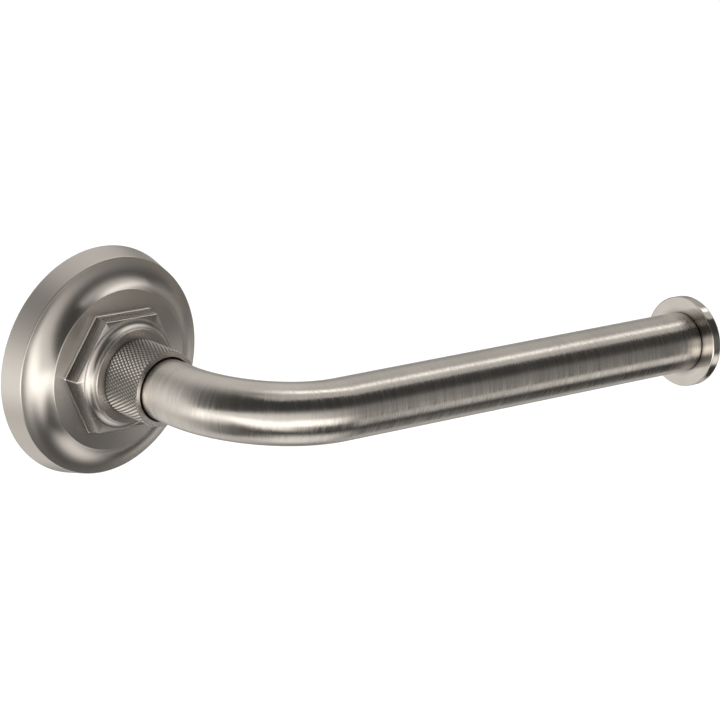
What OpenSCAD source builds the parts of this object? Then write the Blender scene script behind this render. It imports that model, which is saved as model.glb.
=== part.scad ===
// Wall-mounted toilet paper holder: a round wall flange with a hexagonal hub and a knurled collar,
// a bent tube arm that the roll slides onto, and an end disc that keeps the roll on.
// The wall is the plane Y = 0 and the holder stands out of it along -Y. +Z is up and the arm runs
// along +X. The origin is the centre of the back face, on the wall.

/* [Arm] */
// Outer diameter of the arm's tube
tube_d = 19; // [14:0.5:24]
// Wall thickness of the tube
tube_wall = 1.5; // [1:0.1:2.5]
// Centreline radius of the bend
bend_r = 33; // [22:0.5:45]
// Straight tube between the collar's front and the bend
arm_stub_l = 7.1; // [3:0.1:30]
// Straight tube that carries the roll, from the bend to the end disc
roll_bar_l = 148; // [110:0.5:200]

/* [End disc] */
// How far the disc stands out all round the tube
disc_overhang = 4.9; // [2:0.05:9]
// Thickness of the disc
disc_t = 3.8; // [2:0.1:6]
// Rounding of the disc's outer edge
disc_edge_r = 1; // [0.2:0.1:1]
// Chamfer of the disc's edge on the tube's side
disc_chamfer = 0.4; // [0.1:0.1:0.8]
// Diameter of the disc's threaded stud
disc_stud_d = 6; // [4:0.5:8]
// Length of the disc's threaded stud
disc_stud_l = 10; // [6:0.5:14]
// Length of the plug that closes the tube's end
plug_l = 12; // [8:0.5:20]

/* [Collar] */
// Gap all round between the tube and the collar
collar_gap = 0.45; // [0.3:0.05:1]
// Wall thickness of the collar, over the knurl's crests
collar_wall = 1.85; // [1.4:0.05:4]
// Length of the collar
collar_l = 14.5; // [8:0.1:24]
// Thickness of the collar's floor, which the arm clamps
collar_floor_t = 2.2; // [1.5:0.1:4]
// Chamfer of the collar's edges
collar_chamfer = 0.45; // [0.1:0.05:0.8]

/* [Hexagonal hub] */
// Width of the flat ledge between the collar and the hub's round edge
ring_ledge_w = 2.9; // [1:0.1:6]
// Height of the round edge's straight wall
ring_wall_h = 0.6; // [0.2:0.1:2]
// Radius of the hollow between the round edge and the hexagon's top
hub_cove_r = 2.4; // [1.5:0.1:5]
// Width of the flat between the hollow and the hexagon's sides
hex_ledge_w = 0.2; // [0.1:0.1:3]
// Height of the hexagon
hex_h = 4.4; // [2.5:0.1:8]
// How much each flat leans in from its foot to its top
hex_draft = 0.7; // [0.2:0.1:1.5]

/* [Wall flange] */
// Flat margin between the hexagon's corners and the plateau's edge
plateau_margin = 4.3; // [1:0.1:10]
// Radial width of the hollow cove between the plateau and the rim
cove_w = 8.2; // [6:0.1:16]
// Flat land in front of the rim, outside the cove
rim_land_w = 0.6; // [0.3:0.1:4]
// How much the rim widens in radius towards the wall
rim_taper = 1.85; // [0:0.05:4]
// Height of the rim from the wall
rim_h = 7.3; // [6:0.1:9]
// Wall thickness of the flange behind its plateau and cove
flange_wall = 2.3; // [1.5:0.1:3]
// Thickness of the rim beside the socket, at the rim's front edge
rim_wall = 2.95; // [2:0.05:5]

/* [Wall bracket] */
// Radial gap between the bracket and the flange's socket
socket_gap = 0.35; // [0.3:0.05:0.8]
// Thickness of the bracket's plate
plate_t = 2.5; // [1.5:0.1:4]
// Thickness of the bracket's upstanding rim
bracket_rim_t = 2.2; // [1.5:0.1:3]

/* [Fixings] */
// Diameter of the dowel that stops the arm from turning
dowel_d = 2.5; // [1.5:0.1:3]
// Length of the arm's root stud inside the tube
root_l = 14; // [8:0.5:16]
// Metal around the root stud's thread inside the nut
nut_wall = 3.5; // [2.5:0.1:5]
// Height of the fixing nut
nut_h = 4.5; // [3:0.1:8]
// Thickness of the lock washer
washer_t = 1; // [0.6:0.1:2]
// Free thread below the nut
stud_tail = 0.8; // [0.3:0.1:3]
// Thread diameter of the wall screws
screw_d = 4.2; // [3:0.1:5]
// Head diameter of the wall screws
screw_head_d = 8; // [6:0.1:9]
// Head height of the wall screws
screw_head_h = 2.6; // [1.8:0.1:3]
// Length of the wall screws under the head
screw_l = 25; // [16:1:50]
// Diameter of the grub screw under the rim
grub_d = 4; // [3:0.1:4]

/* [Hidden] */

$fn = 96;
EPS = 0.01;

satin_nickel = [0.72, 0.70, 0.66];
bright_steel = [0.78, 0.78, 0.79];
zinc_grey = [0.60, 0.61, 0.62];

// Radii, each worked out from the piece inside it, from the tube outwards
tube_r = tube_d / 2;
tube_bore_r = tube_r - tube_wall;
collar_bore_r = tube_r + collar_gap;
collar_r = collar_bore_r + collar_wall;
ring_r = collar_r + ring_ledge_w;
hex_top_af = 2 * (ring_r + hub_cove_r + hex_ledge_w);
hex_af = hex_top_af + 2 * hex_draft;
plateau_r = hex_af / 2 / cos(30) + plateau_margin;
cove_foot_r = plateau_r + cove_w;
rim_front_r = cove_foot_r + rim_land_w;
rim_back_r = rim_front_r + rim_taper;
socket_r = rim_front_r - rim_wall;
bracket_r = socket_r - socket_gap;
disc_r = tube_r + disc_overhang;

// Distances from the wall, each worked out from what stands behind it
tail_gap = 0.9;
tail_at = plate_t + tail_gap;
nut_at = tail_at + stud_tail;
washer_at = nut_at + nut_h;
ceiling_at = washer_at + washer_t;
plateau_at = ceiling_at + flange_wall;
hex_top_at = plateau_at + hex_h;
ring_at = hex_top_at + hub_cove_r + ring_wall_h;
arm_foot_at = ring_at + collar_floor_t;
collar_front_at = ring_at + collar_l;
bend_at = collar_front_at + arm_stub_l;
arm_at = bend_at + bend_r;

// Distance of the end disc from the flange's axis
disc_at = bend_r + roll_bar_l;

// How far the hub's turned part is sunk into the hexagon below it
hub_sink = hex_h / 2;

// The cove is an arc that leaves the rim's land level and climbs to the plateau
cove_h = plateau_at - rim_h;
cove_r = (cove_w * cove_w + cove_h * cove_h) / (2 * cove_h);
cove_centre = [cove_foot_r, rim_h + cove_r];

// Height of the flange's hollow beside the socket's wall, and the bracket's rim under it
hollow_edge_r = cove_r + flange_wall;
hollow_edge_dr = cove_foot_r - socket_r;
hollow_edge_at = rim_h + cove_r - sqrt(hollow_edge_r * hollow_edge_r - hollow_edge_dr * hollow_edge_dr);
bracket_top_gap = 0.6;
bracket_rim_h = hollow_edge_at - bracket_top_gap;
bracket_chamfer = 0.4;

// Root stud, nut, washer and dowel
dowel_cover = 0.25;
stud_r = tube_bore_r - dowel_d - 2 * dowel_cover;
dowel_at = stud_r + dowel_cover + dowel_d / 2;
dowel_foot_at = plateau_at - 0.8 * flange_wall;
dowel_l = arm_foot_at + 0.4 * root_l - dowel_foot_at;
hole_gap = 0.1;
nut_af = 2 * (stud_r + nut_wall);
washer_r = nut_af / 2 / cos(30) + 0.2;

// Wall screws
screw_side_gap = 3.9;
screw_up = bracket_r - bracket_rim_t - screw_head_d / 2 - screw_side_gap;
screw_hole_r = screw_d / 2 + 0.2;
screw_neck_d = screw_d - 0.8;
screw_neck_tail = 0.5;
screw_tip_l = screw_d;
screw_tip_r = 0.4;
recess_w = 1.1;
recess_l = 4.2;
recess_depth = 1.5;

// Grub screw: its tip stands just off the bracket's rim, its socket just inside the flange's rim
grub_land = 0.9;
grub_at = grub_d / 2 + grub_land;
rim_r_at_grub = rim_back_r - rim_taper * grub_at / rim_h;
grub_sink = 0.3;
grub_tip_gap = 0.06;
grub_fit = 0.05;
grub_l = rim_r_at_grub - grub_sink - bracket_r - grub_tip_gap;
grub_tip_chamfer = 0.6;
grub_key_r = 0.29 * grub_d;
grub_key_depth = 0.5 * grub_l;

// Stands its children on the wall, with their +Z pointing out of it
module from_wall(distance = 0) {
    translate([0, -distance, 0])
        rotate([90, 0, 0])
            children();
}

// Stands its children on the arm's end, with their +Z along the arm
module from_arm_end() {
    translate([disc_at, -arm_at, 0])
        rotate([0, 90, 0])
            children();
}

// Hexagonal block with leaning flats and its corners on the X axis
module leaning_hexagon(foot_af, top_af, height) {
    intersection() {
        leaning_slab(foot_af, top_af, height, 0);
        leaning_slab(foot_af, top_af, height, 60);
        leaning_slab(foot_af, top_af, height, 120);
    }
}

// Long bar with two leaning sides, turned about Z: three of them make the hexagon
module leaning_slab(foot_w, top_w, height, turn) {
    bar_l = 2 * foot_w;
    rotate([0, 0, turn])
        rotate([90, 0, 90])
            translate([0, 0, -bar_l / 2])
                linear_extrude(bar_l)
                    polygon([[-foot_w / 2, 0], [foot_w / 2, 0], [top_w / 2, height], [-top_w / 2, height]]);
}

// Path of the arm as a solid bar of one radius, longer by a little at both ends where asked
module arm_path(radius, extra = 0) {
    from_wall(arm_foot_at - extra)
        cylinder(r = radius, h = bend_at - arm_foot_at + extra);
    translate([bend_r, -bend_at, 0])
        rotate([0, 0, 180])
            rotate_extrude(angle = 90)
                translate([bend_r, 0])
                    circle(r = radius);
    translate([bend_r, -arm_at, 0])
        rotate([0, 90, 0])
            cylinder(r = radius, h = roll_bar_l + extra);
}

// Dish screwed to the wall: a plate with an upstanding rim that the flange slides over
module wall_bracket() {
    color(zinc_grey)
        difference() {
            from_wall()
                rotate_extrude()
                    polygon([
                        [0, 0],
                        [bracket_r, 0],
                        [bracket_r, bracket_rim_h - bracket_chamfer],
                        [bracket_r - bracket_chamfer, bracket_rim_h],
                        [bracket_r - bracket_rim_t, bracket_rim_h],
                        [bracket_r - bracket_rim_t, plate_t],
                        [0, plate_t]
                    ]);
            for (side = [-1, 1])
                translate([0, 0, side * screw_up])
                    from_wall(-EPS)
                        cylinder(r = screw_hole_r, h = plate_t + 2 * EPS);
        }
}

// One pan-head screw: its head seats on the bracket's plate, a plain neck passes through the plate,
// and the threaded shank runs into the wall
module wall_screw() {
    difference() {
        union() {
            from_wall(plate_t)
                cylinder(d = screw_head_d, h = screw_head_h);
            from_wall(-screw_neck_tail)
                cylinder(d = screw_neck_d, h = plate_t + screw_neck_tail);
            from_wall(plate_t - screw_l + screw_tip_l)
                cylinder(d = screw_d, h = screw_l - screw_tip_l - plate_t - screw_neck_tail);
            from_wall(plate_t - screw_l)
                cylinder(r1 = screw_tip_r, r2 = screw_d / 2, h = screw_tip_l);
        }
        for (turn = [0, 90])
            from_wall(plate_t + screw_head_h - recess_depth)
                rotate([0, 0, turn])
                    translate([-recess_l / 2, -recess_w / 2, 0])
                        cube([recess_l, recess_w, recess_depth + 1]);
    }
}

// The two screws, one above and one below the centre
module wall_screws() {
    color(bright_steel)
        for (side = [-1, 1])
            translate([0, 0, side * screw_up])
                wall_screw();
}

// Outline of the flange's outside, on the right of its axis
module flange_outline() {
    difference() {
        union() {
            polygon([[0, 0], [rim_back_r, 0], [rim_front_r, rim_h], [0, rim_h]]);
            square([cove_foot_r, plateau_at]);
        }
        translate(cove_centre)
            circle(r = cove_r);
    }
}

// Outline of the flange's hollow, which follows the cove at one wall thickness
module flange_hollow() {
    difference() {
        translate([0, -EPS])
            square([socket_r, ceiling_at + EPS]);
        translate(cove_centre)
            circle(r = hollow_edge_r);
    }
}

// Round wall flange: rim, cove and plateau, hollow behind, with the grub screw's hole underneath
module flange() {
    color(satin_nickel)
        difference() {
            from_wall()
                rotate_extrude()
                    difference() {
                        flange_outline();
                        flange_hollow();
                    }
            from_wall(ceiling_at - EPS)
                cylinder(r = stud_r + hole_gap, h = flange_wall + 2 * EPS);
            translate([0, 0, dowel_at])
                from_wall(dowel_foot_at)
                    cylinder(d = dowel_d, h = flange_wall);
            translate([0, -grub_at, -rim_back_r - 1])
                cylinder(r = grub_d / 2 + grub_fit, h = rim_back_r + 1 - bracket_r);
        }
}

// Hexagonal hub on the plateau: hexagon, hollow cove and the round edge around the collar's foot
module hex_hub() {
    color(satin_nickel)
        difference() {
            union() {
                from_wall(plateau_at)
                    leaning_hexagon(hex_af, hex_top_af, hex_h);
                from_wall(hex_top_at)
                    rotate_extrude()
                        difference() {
                            translate([0, -hub_sink])
                                square([ring_r + hub_cove_r, hub_sink + hub_cove_r + ring_wall_h]);
                            translate([ring_r + hub_cove_r, hub_cove_r])
                                circle(r = hub_cove_r);
                            translate([ring_r, hub_cove_r])
                                square([hub_cove_r + 1, ring_wall_h + 1]);
                        }
            }
            from_wall(plateau_at - EPS)
                cylinder(r = stud_r + hole_gap, h = ring_at - plateau_at + 2 * EPS);
            translate([0, 0, dowel_at])
                from_wall(plateau_at - EPS)
                    cylinder(d = dowel_d, h = ring_at - plateau_at + 2 * EPS);
        }
}

// Knurled collar: a cup around the arm's foot, whose floor the arm clamps onto the hub
module knurled_collar() {
    color(satin_nickel)
        difference() {
            from_wall(ring_at)
                rotate_extrude()
                    polygon([
                        [stud_r + hole_gap, 0],
                        [collar_r - collar_chamfer, 0],
                        [collar_r, collar_chamfer],
                        [collar_r, collar_l - collar_chamfer],
                        [collar_r - collar_chamfer, collar_l],
                        [collar_bore_r, collar_l],
                        [collar_bore_r, collar_floor_t],
                        [stud_r + hole_gap, collar_floor_t]
                    ]);
            translate([0, 0, dowel_at])
                from_wall(ring_at - EPS)
                    cylinder(d = dowel_d, h = collar_floor_t + 2 * EPS);
        }
}

// Bent tube from the collar's floor to the end disc
module arm_tube() {
    color(satin_nickel)
        difference() {
            arm_path(tube_r);
            arm_path(tube_bore_r, EPS);
        }
}

// Root stud: a plug fixed in the tube's foot, with a threaded tail through collar, hub and flange
module root_stud() {
    color(bright_steel)
        difference() {
            union() {
                from_wall(arm_foot_at)
                    cylinder(r = tube_bore_r, h = root_l);
                from_wall(tail_at)
                    cylinder(r = stud_r, h = arm_foot_at - tail_at);
            }
            translate([0, 0, dowel_at])
                from_wall(arm_foot_at - EPS)
                    cylinder(d = dowel_d, h = dowel_foot_at + dowel_l - arm_foot_at + EPS);
        }
}

// Dowel beside the root stud, through flange, hub, collar and plug, so that the arm can't turn
module dowel() {
    color(bright_steel)
        translate([0, 0, dowel_at])
            from_wall(dowel_foot_at)
                cylinder(d = dowel_d, h = dowel_l);
}

// Lock washer against the flange's ceiling
module lock_washer() {
    color(bright_steel)
        from_wall(washer_at)
            difference() {
                cylinder(r = washer_r, h = washer_t);
                translate([0, 0, -EPS])
                    cylinder(r = stud_r + hole_gap, h = washer_t + 2 * EPS);
            }
}

// Hexagonal nut on the root stud's tail
module fixing_nut() {
    color(bright_steel)
        from_wall(nut_at)
            difference() {
                leaning_hexagon(nut_af, nut_af, nut_h);
                translate([0, 0, -EPS])
                    cylinder(r = stud_r, h = nut_h + 2 * EPS);
            }
}

// Threaded plug in the tube's free end
module end_plug() {
    color(bright_steel)
        from_arm_end()
            translate([0, 0, -plug_l])
                difference() {
                    cylinder(r = tube_bore_r, h = plug_l);
                    translate([0, 0, plug_l - disc_stud_l - 0.5])
                        cylinder(d = disc_stud_d, h = disc_stud_l + 1);
                }
}

// End disc with its stud, screwed into the plug
module end_disc() {
    color(satin_nickel)
        from_arm_end()
            rotate_extrude() {
                difference() {
                    polygon([
                        [0, 0],
                        [disc_r - disc_chamfer, 0],
                        [disc_r, disc_chamfer],
                        [disc_r, disc_t],
                        [0, disc_t]
                    ]);
                    difference() {
                        translate([disc_r - disc_edge_r, disc_t - disc_edge_r])
                            square(disc_edge_r + 1);
                        translate([disc_r - disc_edge_r, disc_t - disc_edge_r])
                            circle(r = disc_edge_r);
                    }
                }
                translate([0, -disc_stud_l])
                    square([disc_stud_d / 2, disc_stud_l + EPS]);
            }
}

// Grub screw up through the rim's underside, with a hexagonal key socket
module grub_screw() {
    color(bright_steel)
        translate([0, -grub_at, -bracket_r - grub_tip_gap])
            rotate([180, 0, 0])
                difference() {
                    rotate_extrude()
                        polygon([
                            [0, 0],
                            [grub_d / 2 - grub_tip_chamfer, 0],
                            [grub_d / 2, grub_tip_chamfer],
                            [grub_d / 2, grub_l],
                            [0, grub_l]
                        ]);
                    translate([0, 0, grub_l - grub_key_depth])
                        cylinder(r = grub_key_r, h = grub_key_depth + 1, $fn = 6);
                }
}

wall_bracket();
wall_screws();
flange();
hex_hub();
knurled_collar();
arm_tube();
root_stud();
dowel();
lock_washer();
fixing_nut();
end_plug();
end_disc();
grub_screw();
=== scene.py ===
import math

import bmesh
import bpy
import numpy as np
from mathutils import Matrix, Vector


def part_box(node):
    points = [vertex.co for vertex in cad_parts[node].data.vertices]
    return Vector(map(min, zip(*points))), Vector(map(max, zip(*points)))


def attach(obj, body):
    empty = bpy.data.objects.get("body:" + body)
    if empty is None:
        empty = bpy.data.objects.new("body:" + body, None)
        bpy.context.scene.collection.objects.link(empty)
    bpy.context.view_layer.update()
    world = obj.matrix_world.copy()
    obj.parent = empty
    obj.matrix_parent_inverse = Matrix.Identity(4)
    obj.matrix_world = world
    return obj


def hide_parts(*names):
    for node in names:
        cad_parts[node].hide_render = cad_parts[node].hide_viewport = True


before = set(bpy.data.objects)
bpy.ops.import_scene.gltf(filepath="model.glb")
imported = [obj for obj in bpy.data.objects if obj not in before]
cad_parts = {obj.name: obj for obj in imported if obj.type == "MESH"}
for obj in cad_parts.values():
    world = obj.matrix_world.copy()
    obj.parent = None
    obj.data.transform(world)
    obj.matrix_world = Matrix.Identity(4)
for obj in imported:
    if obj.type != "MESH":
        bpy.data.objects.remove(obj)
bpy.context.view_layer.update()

MM = 0.001

# ---------------------------------------------------------------------------------------------
# Wall flange. A turned shell of brass: a tapered rim against the wall, a hollow cove and a flat
# plateau, brushed round its axis and satin nickel plated. The grub screw enters its underside.
# ---------------------------------------------------------------------------------------------

flange_low, flange_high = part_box("flange")
hub_low, hub_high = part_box("hex_hub")
bracket_low, bracket_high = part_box("wall_bracket")
stud_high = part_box("root_stud")[1]
grub_low, grub_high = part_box("grub_screw")

rim_taper = 1.85 * MM
rim_h = 7.3 * MM
rim_land = 0.6 * MM
plateau_margin = 4.3 * MM
bracket_play = 0.35 * MM
shell_t = 2.3 * MM
rim_back_r = flange_high.x
rim_front_r = rim_back_r - rim_taper
plateau_at = -flange_low.y
plateau_r = hub_high.x + plateau_margin
cove_foot_r = rim_front_r - rim_land
socket_r = bracket_high.x + bracket_play
ceiling_at = plateau_at - shell_t
stud_hole_r = 5.1 * MM
grub_at = -(grub_low.y + grub_high.y) / 2
grub_r = (grub_high.y - grub_low.y) / 2
grub_play = 0.05 * MM

cove_w = cove_foot_r - plateau_r
cove_h = plateau_at - rim_h
cove_r = (cove_w ** 2 + cove_h ** 2) / (2 * cove_h)
cove_turn = 2 * math.atan2(cove_h, cove_w)
cove_corner_r = cove_foot_r - cove_r * math.tan(cove_turn / 2)

hollow_edge_r = cove_r + shell_t
hollow_top = math.asin((rim_h + cove_r - ceiling_at) / hollow_edge_r)
hollow_foot = math.acos((cove_foot_r - socket_r) / hollow_edge_r)
hollow_middle = (hollow_top + hollow_foot) / 2
hollow_corner = hollow_edge_r / math.cos((hollow_foot - hollow_top) / 2)


def right_of(way):
    """The outside of an outline that runs anticlockwise, at right angles to its way."""
    return np.array([way[1], -way[0]])


def rounded_outline(corners, closed):
    """Points and outward normals of an outline of corners (x, y, rounding radius)."""
    points, normals = [], []
    for i, (x, y, radius) in enumerate(corners):
        here = np.array([x, y])
        before = np.array(corners[i - 1][:2]) if closed or i else None
        after = np.array(corners[(i + 1) % len(corners)][:2]) if closed or i < len(corners) - 1 else None
        way_in = (here - before) / np.linalg.norm(here - before) if before is not None else None
        way_out = (after - here) / np.linalg.norm(after - here) if after is not None else None
        if before is None or after is None:
            points.append(here)
            normals.append(right_of(way_out if before is None else way_in))
            continue
        turn = math.atan2(way_in[0] * way_out[1] - way_in[1] * way_out[0], way_in @ way_out)
        if abs(turn) < 1e-6:
            points.append(here)
            normals.append(right_of(way_in))
            continue
        side = 1 if turn > 0 else -1
        centre = here - way_in * radius * math.tan(abs(turn) / 2) - side * right_of(way_in) * radius
        steps = max(5, math.ceil(abs(turn) * math.sqrt(radius / MM) * 12))
        for step in range(steps + 1):
            angle = turn * step / steps
            way = np.array([
                way_in[0] * math.cos(angle) - way_in[1] * math.sin(angle),
                way_in[0] * math.sin(angle) + way_in[1] * math.cos(angle),
            ])
            points.append(centre + side * right_of(way) * radius)
            normals.append(right_of(way))
    return np.array(points), np.array(normals)


def off_the_wall(distance):
    """Origin, two axes across and the axis along, at a distance from the wall."""
    return Vector((0, -distance, 0)), Vector((1, 0, 0)), Vector((0, 0, 1)), Vector((0, -1, 0))


def round_section(x, count):
    """Places and normals of a circle's points."""
    angles = np.linspace(0, 2 * math.pi, count, endpoint=False)
    ways = np.stack([np.cos(angles), np.sin(angles)], 1)
    return ways * x, ways


def turned(name, outline, closed, frame_at=off_the_wall, section=round_section, count=192):
    """Mesh object of an outline carried round an axis or along a path, with exact normals.

    The attribute "grain" holds the place along the outline and across the section, and the UV
    map "brush" runs along the outline and round the axis, so that brushing can follow both.
    """
    points, normals = outline
    lengths = np.linalg.norm(np.roll(points, -1, axis=0) - points, axis=1)
    along = np.concatenate([[0], np.cumsum(lengths)])
    total = along[-1] if closed else along[-2]
    vertices, vertex_normals, grains, rings = [], [], [], []
    for k, ((x, y), (nx, ny)) in enumerate(zip(points, normals)):
        origin, across, upward, axis = frame_at(y)
        pole = not closed and x < 1e-9
        places, ways = section(x, count)
        first = len(vertices)
        for place, way in zip(places[:1] if pole else places, ways):
            outward = across * way[0] + upward * way[1]
            vertices.append(origin + across * place[0] + upward * place[1])
            vertex_normals.append((axis * ny if pole else outward * nx + axis * ny).normalized())
            grains.append((along[k], place[0], place[1]))
        rings.append([first] * count if pole else list(range(first, first + count)))
    faces, face_uvs = [], []
    for k in range(len(rings) if closed else len(rings) - 1):
        here, there = rings[k], rings[(k + 1) % len(rings)]
        u0, u1 = along[k] / total, along[k + 1] / total
        for j in range(count):
            n = (j + 1) % count
            v0, v1 = j / count, (j + 1) / count
            loop = []
            for corner in ((here[j], u0, v0), (here[n], u0, v1), (there[n], u1, v1), (there[j], u1, v0)):
                if corner[0] not in [c[0] for c in loop]:
                    loop.append(corner)
            faces.append([corner[0] for corner in loop])
            face_uvs.extend(corner[1:] for corner in loop)
    mesh = bpy.data.meshes.new(name)
    mesh.from_pydata([tuple(v) for v in vertices], [], faces)
    mesh.uv_layers.new(name="brush").data.foreach_set("uv", np.array(face_uvs, dtype=np.float32).ravel())
    grain = mesh.attributes.new("grain", "FLOAT_VECTOR", "POINT")
    grain.data.foreach_set("vector", np.array(grains, dtype=np.float32).ravel())
    mesh.polygons.foreach_set("use_smooth", [True] * len(faces))
    mesh.normals_split_custom_set_from_vertices([tuple(n) for n in vertex_normals])
    piece = bpy.data.objects.new(name, mesh)
    bpy.context.scene.collection.objects.link(piece)
    return piece


def drilled(piece, *cutters):
    """The piece with round holes cut in it, each (foot, tip, radius), and its shading evened out."""
    for foot, tip, radius in cutters:
        way = (Vector(tip) - Vector(foot)).normalized()
        across = way.orthogonal().normalized()
        upward = way.cross(across)
        length = (Vector(tip) - Vector(foot)).length
        drill = turned("drill", rounded_outline([
            (0, 0, 0), (radius, 0, 0.01 * MM), (radius, length, 0.01 * MM), (0, length, 0),
        ], closed=False), closed=False, count=48,
            frame_at=lambda y: (Vector(foot) + way * y, across, upward, way))
        modifier = piece.modifiers.new("hole", "BOOLEAN")
        modifier.operation = "DIFFERENCE"
        modifier.solver = "EXACT"
        modifier.object = drill
        seen = piece.evaluated_get(bpy.context.evaluated_depsgraph_get())
        mesh = bpy.data.meshes.new_from_object(seen)
        piece.modifiers.remove(modifier)
        piece.data = mesh
        bpy.data.objects.remove(drill)
    if "custom_normal" in piece.data.attributes:
        piece.data.attributes.remove(piece.data.attributes["custom_normal"])
    piece.data.set_sharp_from_angle(angle=math.radians(32))
    evened = piece.modifiers.new("evened_shading", "WEIGHTED_NORMAL")
    evened.keep_sharp = True
    return piece


def fitted(piece, body, slot, material, *nodes):
    """Gives the piece its finish, puts it on its body and takes its CAD nodes' place."""
    piece.data.materials.clear()
    piece.data.materials.append(material)
    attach(piece, body)
    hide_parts(*nodes)


def maths_in(nodes, links):
    """A function that adds a math node to a tree and gives its result."""
    def maths(operation, *values):
        node = nodes.new("ShaderNodeMath")
        node.operation = operation
        for socket, value in zip(node.inputs, values):
            if isinstance(value, (int, float)):
                socket.default_value = value
            else:
                links.new(value, socket)
        return node.outputs[0]

    return maths


def brushed_nickel(name, colour, roughness, spread, scratch_along, scratch_across, anisotropy):
    """Satin nickel: fine scratches and streaks of gloss and tone, with painted shade in recesses and a
    painted highlight along edges.
    """
    material = bpy.data.materials.new(name)
    material.use_nodes = True
    nodes, links = material.node_tree.nodes, material.node_tree.links
    shader = nodes["Principled BSDF"]
    shader.inputs["Metallic"].default_value = 1.0
    shader.inputs["Anisotropic"].default_value = anisotropy
    tangent = nodes.new("ShaderNodeTangent")
    tangent.direction_type = "UV_MAP"
    tangent.uv_map = "brush"
    links.new(tangent.outputs["Tangent"], shader.inputs["Tangent"])
    grain = nodes.new("ShaderNodeAttribute")
    grain.attribute_name = "grain"
    maths = maths_in(nodes, links)

    def vectors(operation, *values):
        node = nodes.new("ShaderNodeVectorMath")
        node.operation = operation
        for socket, value in zip(node.inputs, values):
            if isinstance(value, tuple):
                socket.default_value = value
            else:
                links.new(value, socket)
        return node.outputs["Vector"]

    def streaks(along, across, detail):
        noise = nodes.new("ShaderNodeTexNoise")
        noise.inputs["Scale"].default_value = 1.0
        noise.inputs["Detail"].default_value = detail
        noise.inputs["Roughness"].default_value = 0.6
        stretched = vectors("MULTIPLY", grain.outputs["Vector"], (along, across, across))
        links.new(stretched, noise.inputs["Vector"])
        return noise

    def between(source, low, high, start=0.3, stop=0.7):
        ranged = nodes.new("ShaderNodeMapRange")
        ranged.inputs["From Min"].default_value = start
        ranged.inputs["From Max"].default_value = stop
        ranged.inputs["To Min"].default_value = low
        ranged.inputs["To Max"].default_value = high
        links.new(source, ranged.inputs["Value"])
        return ranged.outputs["Result"]

    broad = streaks(900, 40, 2).outputs["Fac"]
    links.new(between(broad, roughness - spread, roughness + spread), shader.inputs["Roughness"])
    smudges = streaks(60, 60, 2).outputs["Fac"]
    tone = nodes.new("ShaderNodeMix")
    tone.data_type = "RGBA"
    tone.inputs[6].default_value = (*[c * 0.93 for c in colour], 1)
    tone.inputs[7].default_value = (*[min(1, c * 1.06) for c in colour], 1)
    links.new(between(smudges, 0, 1), tone.inputs[0])
    # Painted shade: the base colour is darkened to as little as 0.42 times where other surfaces stand within
    # 2 mm, in recesses, at joints and at the feet of walls.
    recess = nodes.new("ShaderNodeAmbientOcclusion")
    recess.samples = 6
    recess.inputs["Distance"].default_value = 2.0 * MM
    shaded = nodes.new("ShaderNodeMix")
    shaded.data_type = "RGBA"
    shaded.blend_type = "MULTIPLY"
    shaded.inputs[0].default_value = 1.0
    # Painted highlight: the base colour is brightened up to 1.4 times along thin edges and corners, where the
    # inside of the piece is close.
    edge = nodes.new("ShaderNodeAmbientOcclusion")
    edge.samples = 6
    edge.inside = True
    edge.inputs["Distance"].default_value = 0.4 * MM
    painted_recess_shade = between(recess.outputs["AO"], 0.42, 1.0, 0.35, 0.95)
    painted_shade_and_edge_highlight = maths("MULTIPLY", painted_recess_shade, between(edge.outputs["AO"], 1.4, 1.0, 0.5, 0.9))
    grey = nodes.new("ShaderNodeCombineColor")
    for socket in grey.inputs:
        links.new(painted_shade_and_edge_highlight, socket)
    links.new(tone.outputs[2], shaded.inputs[6])
    links.new(grey.outputs[0], shaded.inputs[7])
    links.new(shaded.outputs[2], shader.inputs["Base Color"])

    surface = nodes.new("ShaderNodeNewGeometry").outputs["Normal"]
    crosswise = vectors("CROSS_PRODUCT", surface, tangent.outputs["Tangent"])
    scratches = streaks(3200, 60, 2).outputs["Color"]
    apart = nodes.new("ShaderNodeSeparateColor")
    links.new(scratches, apart.inputs[0])
    normal = surface
    for way, channel, strength in ((tangent.outputs["Tangent"], "Red", scratch_along),
                                   (crosswise, "Green", scratch_across)):
        scaled = nodes.new("ShaderNodeVectorMath")
        scaled.operation = "SCALE"
        links.new(way, scaled.inputs[0])
        leaning = maths("MULTIPLY_ADD", apart.outputs[channel], 2 * strength, -strength)
        links.new(leaning, scaled.inputs["Scale"])
        normal = vectors("ADD", normal, scaled.outputs["Vector"])
    links.new(vectors("NORMALIZE", normal), shader.inputs["Normal"])
    return material


turned_nickel = brushed_nickel("turned_nickel", (0.64, 0.61, 0.57), 0.27, 0.04, 0.07, 0.02, 0.75)

flange = turned("wall_flange", rounded_outline([
    (socket_r, 0, 0.3 * MM),
    (rim_back_r, 0, 0.3 * MM),
    (rim_front_r, rim_h, 0.3 * MM),
    (cove_corner_r, rim_h, cove_r * 0.96),
    (plateau_r, plateau_at, 0.28 * MM),
    (stud_hole_r, plateau_at, 0.2 * MM),
    (stud_hole_r, ceiling_at, 0.2 * MM),
    (cove_foot_r - hollow_edge_r * math.cos(hollow_top), ceiling_at, 0.1 * MM),
    (cove_foot_r - hollow_corner * math.cos(hollow_middle),
     rim_h + cove_r - hollow_corner * math.sin(hollow_middle), hollow_edge_r * 0.97),
    (socket_r, rim_h + cove_r - hollow_edge_r * math.sin(hollow_foot), 0.1 * MM),
], closed=True), closed=True, count=256)
drilled(flange, (
    (0, -grub_at, -rim_back_r - 1 * MM), (0, -grub_at, -socket_r + 2 * MM), grub_r + grub_play,
))
fitted(flange, "holder", "satin_nickel", turned_nickel, "flange")

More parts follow.
